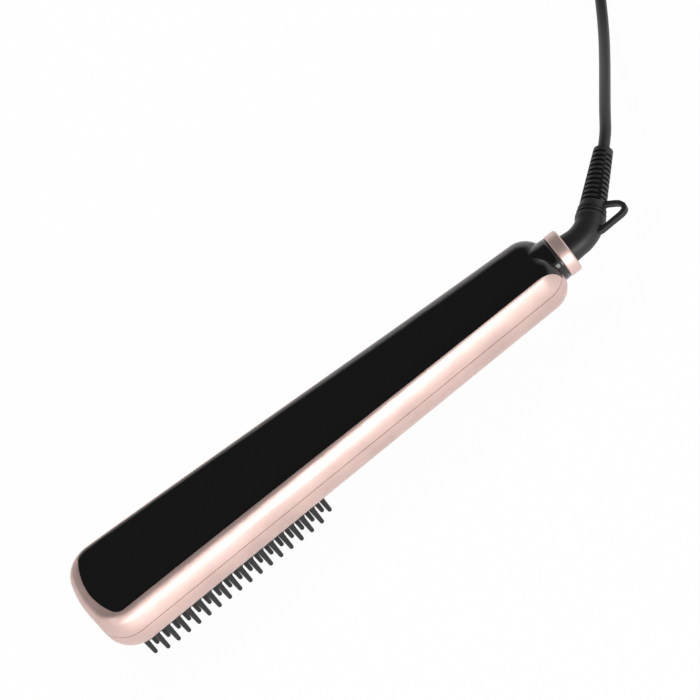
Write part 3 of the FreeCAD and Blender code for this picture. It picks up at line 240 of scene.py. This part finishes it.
def moulded(name, colour, roughness, metallic=0.0, coat=0.0, grain=900.0, depth=0.02, specular=0.5):
    """A moulded, painted or metal surface with a fine grain."""
    finish = bpy.data.materials.new(name)
    finish.use_nodes = True
    tree = finish.node_tree
    shader = tree.nodes["Principled BSDF"]
    shader.inputs["Metallic"].default_value = metallic
    shader.inputs["Coat Weight"].default_value = coat
    shader.inputs["Coat Roughness"].default_value = COAT_ROUGHNESS
    shader.inputs["Specular IOR Level"].default_value = specular
    place = tree.nodes.new("ShaderNodeTexCoord")
    speckle = add_node(tree, "ShaderNodeTexNoise", Scale=grain, Detail=3.0)
    cloud = add_node(tree, "ShaderNodeTexNoise", Scale=grain / 40, Detail=2.0)
    for noise in (speckle, cloud):
        tree.links.new(place.outputs["Object"], noise.inputs["Vector"])
    tint = tree.nodes.new("ShaderNodeValToRGB")
    low = [c * (1 - TINT_CHANGE) for c in colour]
    high = [min(1.0, c * (1 + TINT_CHANGE)) for c in colour]
    tint.color_ramp.elements[0].position = 0.35
    tint.color_ramp.elements[0].color = (*low, 1)
    tint.color_ramp.elements[1].position = 0.65
    tint.color_ramp.elements[1].color = (*high, 1)
    tree.links.new(cloud.outputs["Fac"], tint.inputs["Fac"])
    tree.links.new(tint.outputs["Color"], shader.inputs["Base Color"])
    rough = add_node(tree, "ShaderNodeMapRange", To_Min=roughness * (1 - ROUGHNESS_CHANGE),
                     To_Max=roughness * (1 + ROUGHNESS_CHANGE))
    tree.links.new(speckle.outputs["Fac"], rough.inputs["Value"])
    tree.links.new(rough.outputs["Result"], shader.inputs["Roughness"])
    bump = add_node(tree, "ShaderNodeBump", Strength=depth, Distance=GRAIN_DEPTH)
    tree.links.new(speckle.outputs["Fac"], bump.inputs["Height"])
    tree.links.new(bump.outputs["Normal"], shader.inputs["Normal"])
    return finish


FINISHES = {
    "rose_gold_plastic": moulded("rose_gold_paint", (0.70, 0.51, 0.465), 0.47, metallic=0.8, coat=0.1,
                                 grain=2600),
    "rose_gold_trim": moulded("rose_gold_bright", (0.74, 0.55, 0.505), 0.45, metallic=0.8, grain=1800,
                              depth=0.01),
    "gloss_black": moulded("piano_black", (0.0035, 0.0032, 0.0030), 0.07, coat=0.2, grain=700, depth=0.004),
    "dark_grey_nylon": moulded("grey_nylon", (0.016, 0.016, 0.0165), 0.50, grain=2200, depth=0.05,
                               specular=0.35),
    "black_rubber": moulded("satin_rubber", (0.010, 0.0095, 0.0095), 0.46, grain=2600, depth=0.06),
    "black_plastic": moulded("black_plastic", (0.012, 0.012, 0.013), 0.35, grain=1500, depth=0.04),
    "smoked_lens": moulded("smoked_lens", (0.010, 0.010, 0.012), 0.04, coat=0.5, grain=400, depth=0.0),
    "white_plastic": moulded("white_plastic", (0.70, 0.69, 0.65), 0.45, grain=1500),
    "board_green": moulded("board_green", (0.03, 0.17, 0.07), 0.35, coat=0.3, grain=1200),
    "plate_aluminium": moulded("plate_aluminium", (0.74, 0.74, 0.75), 0.32, metallic=1.0, grain=2500),
    "steel": moulded("screw_steel", (0.52, 0.52, 0.53), 0.30, metallic=1.0, grain=2500),
    "contact_brass": moulded("contact_brass", (0.75, 0.56, 0.25), 0.25, metallic=1.0, grain=2500),
    "nickel_pins": moulded("nickel_pins", (0.76, 0.75, 0.72), 0.18, metallic=1.0, grain=3000, depth=0.01),
}
node_slot = {part["node"]: part["material_slot"] for part in frame["record"]["subparts"]}
for name, solid in frame["nodes"].items():
    solid.data.materials.clear()
    solid.data.materials.append(FINISHES[node_slot[name]])
print("finishes:", len(FINISHES))

# %% [markdown]
# ## Smooth skins
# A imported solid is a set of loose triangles. On a glossy, rounded piece the triangles would show, so such a
# piece gets a skin: a copy whose loose corners are merged, shaded smoothly except at real edges. The skin
# has the solid's shape and stands in its place. Only the moulded hang loop and the cord tie also get a
# small round along their edges, as soft rubber has.

# %% Make the skins
SHARP_DEGREES = 28.0
ROUNDED_DEGREES = 40.0
MERGE_DISTANCE = 2e-6


def smooth_skin(node, soft_edge=0.0, even_shading=True):
    """A merged, smoothly shaded copy of a solid, in the solid's place; its sharp edges may be rounded."""
    skin_mesh = bpy.data.meshes.new(node + "_skin")
    work = bmesh.new()
    work.from_mesh(frame["nodes"][node].data)
    bmesh.ops.remove_doubles(work, verts=work.verts, dist=MERGE_DISTANCE)
    for face in work.faces:
        face.smooth = True
    for edge in work.edges:
        edge.smooth = len(edge.link_faces) == 2 and edge.calc_face_angle(0.0) < math.radians(SHARP_DEGREES)
    work.to_mesh(skin_mesh)
    work.free()
    skin_mesh.materials.clear()
    skin_mesh.materials.append(FINISHES[node_slot[node]])
    skin = bpy.data.objects.new(node + "_skin", skin_mesh)
    scene.collection.objects.link(skin)
    if soft_edge:
        rounding = skin.modifiers.new("soft_edge", "BEVEL")
        rounding.width = soft_edge * MM
        rounding.segments = 3
        rounding.limit_method = "ANGLE"
        rounding.angle_limit = math.radians(ROUNDED_DEGREES)
    if even_shading:
        weight = skin.modifiers.new("even_shading", "WEIGHTED_NORMAL")
        weight.keep_sharp = True
    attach(skin, frame["nodes"][node]["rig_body"])
    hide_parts(node)
    return skin


SKINNED = ["back_shell", "front_shell", "back_cover", "neck_sleeve", "collar_ring", "cord_elbow", "hang_loop",
           "guard_bristles", "heated_bristles", "bristle_plate", "power_button", "plus_button", "minus_button",
           "display_window", "plug_body", "plug_pins", "cord_tie"]
SOFT_EDGES = {"hang_loop": 0.8, "cord_tie": 0.6}
FULL_SIDED = ["back_shell", "front_shell"]
skins = {node: smooth_skin(node, soft_edge=SOFT_EDGES.get(node, 0.0), even_shading=node not in FULL_SIDED)
         for node in SKINNED}
print("skins:", {node: len(skin.data.polygons) for node, skin in skins.items()})

# %% [markdown]
# ## Full sides
# The painted shells are a little full, so light rolls over their sides and no flat band shows. The solids
# have straight sides between two rounds. The skins keep that shape, but their outer faces get normals of
# their own: a normal leans up above the parting line and down below it, in step with its height. A face is an
# outer one if a ray that leaves it meets nothing.

# %% Lean the normals of the shells
TOP, BELLY_HEAD, BELLY_TAIL = 45.9, 15.5, 18.9
HEAD_END, TAIL_END = -113.0, 115.0
SHOULDER_HEAD, SHOULDER_TAIL = 6.0, 11.0
HALF_ROUND = 0.293


def between(first, last, share):
    """A value part of the way from one to another."""
    return first + (last - first) * share


def lean_at(x, z):
    """The lean of a side's normal in degrees at a place in millimetres."""
    share = min(1.0, max(0.0, (x - HEAD_END) / (TAIL_END - HEAD_END)))
    belly = between(BELLY_HEAD, BELLY_TAIL, share)
    shoulder = between(SHOULDER_HEAD, SHOULDER_TAIL, share)
    steps = [(belly, -90.0),
             (belly + 3.4, -45.0),
             (belly + 11.5, between(-5.0, -14.0, share)),
             (belly + 15.2, between(7.0, -6.0, share)),
             (TOP - shoulder, between(20.0, 2.0, share)),
             (TOP - HALF_ROUND * shoulder, between(45.0, 22.0, share)),
             (TOP, 90.0)]
    for (low, first), (high, last) in zip(steps, steps[1:]):
        if z <= high:
            return between(first, last, max(0.0, (z - low) / (high - low)))
    return 90.0


def full_sides(skin):
    """Give the outer faces of a shell's skin normals that lean with height."""
    mesh = skin.data
    work = bmesh.new()
    work.from_mesh(mesh)
    walls = BVHTree.FromBMesh(work)
    outer = [face for face in work.faces if abs(face.normal.z) < 0.97
             and walls.ray_cast(face.calc_center_median() + face.normal * 1e-5, face.normal)[0] is None]
    sideways = {}
    for face in outer:
        for corner in face.verts:
            sideways.setdefault(corner.index, Vector()).xy += face.normal.xy * face.calc_area()
    outer = [face.index for face in outer]
    work.free()
    normals = [Vector(corner.vector) for corner in mesh.corner_normals]
    for index in outer:
        for loop in mesh.polygons[index].loop_indices:
            corner = mesh.vertices[mesh.loops[loop].vertex_index]
            lean = math.radians(lean_at(corner.co.x / MM, corner.co.z / MM))
            flat = sideways[corner.index].normalized()
            normals[loop] = flat * math.cos(lean) + Vector((0, 0, math.sin(lean)))
    mesh.normals_split_custom_set(normals)
    return len(outer)


print("outer faces:", [full_sides(skins[node]) for node in FULL_SIDED])

# %% [markdown]
# ## Neck flare and relief foot
# Two places where one moulding swells into the next. The black neck meets the tail in a soft fillet, and the
# elbow grows a little before the strain relief's first ridge. Each swelling is turned from a short profile,
# like a piece on a lathe, because a full spin keeps it perfectly round.

# %% Turn the two swellings
AXIS_HEIGHT = 33.5
RING_END = 140.3
ELBOW_STRAIGHT = 4.4
BEND_RADIUS = 15.0
SPIN_STEPS = 96


def turned(name, profile, body, slot_name, start=(0, 0, AXIS_HEIGHT), axis=(1, 0, 0)):
    """A closed ring of revolution from (along, radius) pairs in millimetres, about an axis from a start."""
    mesh = bpy.data.meshes.new(name)
    work = bmesh.new()
    start, axis = Vector(start), Vector(axis).normalized()
    corners = [work.verts.new((start + axis * x + Vector((0, 0, r))) * MM) for x, r in profile]
    edges = [work.edges.new((corners[i], corners[(i + 1) % len(corners)])) for i in range(len(corners))]
    bmesh.ops.spin(work, geom=corners + edges, cent=start * MM, axis=axis,
                   angle=2 * math.pi, steps=SPIN_STEPS, use_merge=True)
    bmesh.ops.remove_doubles(work, verts=work.verts, dist=1e-7)
    bmesh.ops.recalc_face_normals(work, faces=work.faces)
    for face in work.faces:
        face.smooth = True
    work.to_mesh(mesh)
    work.free()
    mesh.materials.append(FINISHES[slot_name])
    ring = bpy.data.objects.new(name, mesh)
    scene.collection.objects.link(ring)
    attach(ring, body)
    return ring


flare_profile = [(122.0, 10.6), (123.6, 12.1), (125.0, 11.9), (126.4, 11.66), (127.8, 11.45), (129.2, 11.28),
                 (130.6, 11.15), (132.0, 11.06), (133.4, 11.02), (133.4, 10.6)]
flare = turned("neck_flare", flare_profile, "brush", "gloss_black")

bend = math.radians(50.0)
relief_start = Vector((RING_END + ELBOW_STRAIGHT + BEND_RADIUS * math.sin(bend),
                       BEND_RADIUS * (1 - math.cos(bend)), AXIS_HEIGHT))
outwards = Vector((math.cos(bend), math.sin(bend), 0))
foot_profile = [(-2.4, 6.6), (-2.2, 6.78), (-1.4, 6.98), (-0.4, 7.2), (0.5, 7.35), (1.3, 7.42), (1.6, 7.42),
                (1.6, 6.6)]
foot = turned("relief_foot", foot_profile, "swivel", "black_rubber", relief_start, outwards)
print("swelling faces:", len(flare.data.polygons), len(foot.data.polygons))

# %% [markdown]
# ## Button marks
# The three buttons under the handle carry raised marks that a thumb can feel: a bar, a cross and an open ring
# with a stroke. On the real object they are moulded with the cap or printed on it. Each mark is a flat outline
# drawn in the plane of its button, pushed out to a thin plate and bevelled, so its edge catches the light.

# %% Raise the marks
ALONG, ACROSS = Vector((0.999877, 0, 0.015707)), Vector((0, 1, 0))
PRESS = Vector((-0.015707, 0, 0.999877))
MARK_HEIGHT = 0.3
MARK_BEVEL = 0.07


def button_face(button):
    """The middle of a button's outer face."""
    corners = [corner.co for corner in frame["nodes"][button].data.vertices]
    spans = [[corner.dot(axis) for corner in corners] for axis in (ALONG, ACROSS, PRESS)]
    return (ALONG * (min(spans[0]) + max(spans[0])) / 2 + ACROSS * (min(spans[1]) + max(spans[1])) / 2
            + PRESS * min(spans[2]))


def raised_mark(name, button, outlines):
    """Thin bevelled plates on a button's face, from outlines in millimetres."""
    work = bmesh.new()
    for outline in outlines:
        flat = work.faces.new([work.verts.new((x * MM, y * MM, -MARK_HEIGHT / 2 * MM)) for x, y in outline])
        raised = bmesh.ops.extrude_face_region(work, geom=[flat])
        pushed = [part for part in raised["geom"] if isinstance(part, bmesh.types.BMVert)]
        bmesh.ops.translate(work, vec=(0, 0, MARK_HEIGHT * MM), verts=pushed)
    bmesh.ops.recalc_face_normals(work, faces=work.faces)
    bmesh.ops.bevel(work, geom=[edge for edge in work.edges if edge.calc_face_angle(0.0) > 0.7],
                    offset=MARK_BEVEL * MM, segments=2, profile=0.5, affect="EDGES", material=-1)
    button_turn = Matrix((ALONG, ACROSS, PRESS)).transposed().to_4x4()
    bmesh.ops.transform(work, matrix=Matrix.Translation(button_face(button)) @ button_turn, verts=work.verts)
    mesh = bpy.data.meshes.new(name)
    work.to_mesh(mesh)
    work.free()
    mesh.materials.append(FINISHES["white_plastic"])
    mark = bpy.data.objects.new(name, mesh)
    scene.collection.objects.link(mark)
    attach(mark, frame["nodes"][button]["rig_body"])
    return mark


ARM, HALF = 2.0, 0.4
RING_OUTER, RING_INNER = 2.1, 1.5
RING_GAP, RING_STEPS = 38, 24
bar = [(-ARM, -HALF), (ARM, -HALF), (ARM, HALF), (-ARM, HALF)]
cross = [(-ARM, -HALF), (-HALF, -HALF), (-HALF, -ARM), (HALF, -ARM), (HALF, -HALF), (ARM, -HALF),
         (ARM, HALF), (HALF, HALF), (HALF, ARM), (-HALF, ARM), (-HALF, HALF), (-ARM, HALF)]
stroke = [(0.5, -0.3), (2.4, -0.3), (2.4, 0.3), (0.5, 0.3)]
sweep = [math.radians(RING_GAP + i * (360 - 2 * RING_GAP) / RING_STEPS) for i in range(RING_STEPS + 1)]
open_ring = ([(RING_OUTER * math.cos(a), RING_OUTER * math.sin(a)) for a in sweep]
             + [(RING_INNER * math.cos(a), RING_INNER * math.sin(a)) for a in reversed(sweep)])
marks = [raised_mark("minus_mark", "minus_button", [bar]), raised_mark("plus_mark", "plus_button", [cross]),
         raised_mark("power_mark", "power_button", [stroke, open_ring])]
print("marks:", [len(mark.data.polygons) for mark in marks])

# %% [markdown]
# ## The lead's route
# The lead leaves the strain relief straight, sinks to the floor and runs on out of the picture. Its unseen
# length is wound into a flat coil of two layers, as such leads are sold: the lower layer winds in, the upper
# one winds out again. The points below are the same corners that the solid lead turns round.

# %% Lay the route
RELIEF_LENGTH = 41.0
LAY_HEIGHT = 4.3
DROP = AXIS_HEIGHT - LAY_HEIGHT
QUARTERS, POINTS_PER_QUARTER = 30, 4
STEP = 6.4 / 4
LEAST_RADIUS = 23.0 - STEP
OUTER_RADIUS = LEAST_RADIUS + QUARTERS / 2 * STEP
LAYER_LIFT = 6.3
COIL_GAP = 5.6
TAIL_RUN = 14.0

mouth = relief_start + outwards * RELIEF_LENGTH
lead_points = [mouth - outwards * 6.0, mouth + outwards * 8.0]
for x, y, share in [(12.9, 23.5, 0.137), (21.9, 44.9, 0.394), (31.1, 67.4, 0.685), (40.6, 90.0, 0.918),
                    (49.8, 111.5, 1.034), (59.0, 130.5, 1.0), (67.6, 147.5, 1.0)]:
    lead_points.append(mouth + Vector((x, y, -DROP * share)))

arrival = (lead_points[-1] - lead_points[-2]).normalized()
right_hand = Vector((arrival.y, -arrival.x, 0))
coil_start = lead_points[-1] + arrival * COIL_GAP
slant = math.atan2(STEP, math.pi / 2 * OUTER_RADIUS)
inwards = right_hand * math.cos(slant) - arrival * math.sin(slant)
coil_middle = coil_start + inwards * OUTER_RADIUS
coil_angle = math.atan2(-inwards.y, -inwards.x)
for i in range(QUARTERS * POINTS_PER_QUARTER + 1):
    quarter = i / POINTS_PER_QUARTER
    angle = coil_angle - quarter * math.pi / 2
    radius = LEAST_RADIUS + STEP * abs(quarter - QUARTERS / 2)
    climb = min(1.0, max(0.0, (quarter - QUARTERS / 2 + 1) / 2))
    lift = LAYER_LIFT * climb * climb * (3 - 2 * climb)
    lead_points.append(Vector((coil_middle.x + radius * math.cos(angle),
                               coil_middle.y + radius * math.sin(angle), LAY_HEIGHT + lift)))
departure = (lead_points[-1] - lead_points[-2]).normalized()
departure = Vector((departure.x, departure.y, 0)).normalized()
for _ in range(2):
    lead_points.append(lead_points[-1] + departure * TAIL_RUN)
print("lead points:", len(lead_points))

# %% [markdown]
# ## The lead
# The real lead is two insulated cores in a round rubber sheath. One NURBS curve with a round bevel draws it:
# such a curve bends softly between its points, so the lead has no kinks. It replaces the solid lead and coil,
# and the tie and the plug go with it.

# %% Draw the lead
LEAD_DIAMETER = 5.6 * MM
lead_curve = bpy.data.curves.new("lead", "CURVE")
lead_curve.dimensions = "3D"
lead_curve.bevel_depth = LEAD_DIAMETER / 2
lead_curve.bevel_resolution = 5
lead_curve.resolution_u = 6
lead_curve.use_fill_caps = True
run = lead_curve.splines.new("NURBS")
run.points.add(len(lead_points) - 1)
for point, place in zip(run.points, lead_points):
    point.co = (*(place * MM), 1.0)
run.order_u = 3
run.use_endpoint_u = True
lead_curve.materials.append(FINISHES["black_rubber"])
lead = bpy.data.objects.new("lead", lead_curve)
scene.collection.objects.link(lead)
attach(lead, "swivel")
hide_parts("cord", "cord_coil")
print("lead: %.1f mm thick" % (LEAD_DIAMETER / MM))
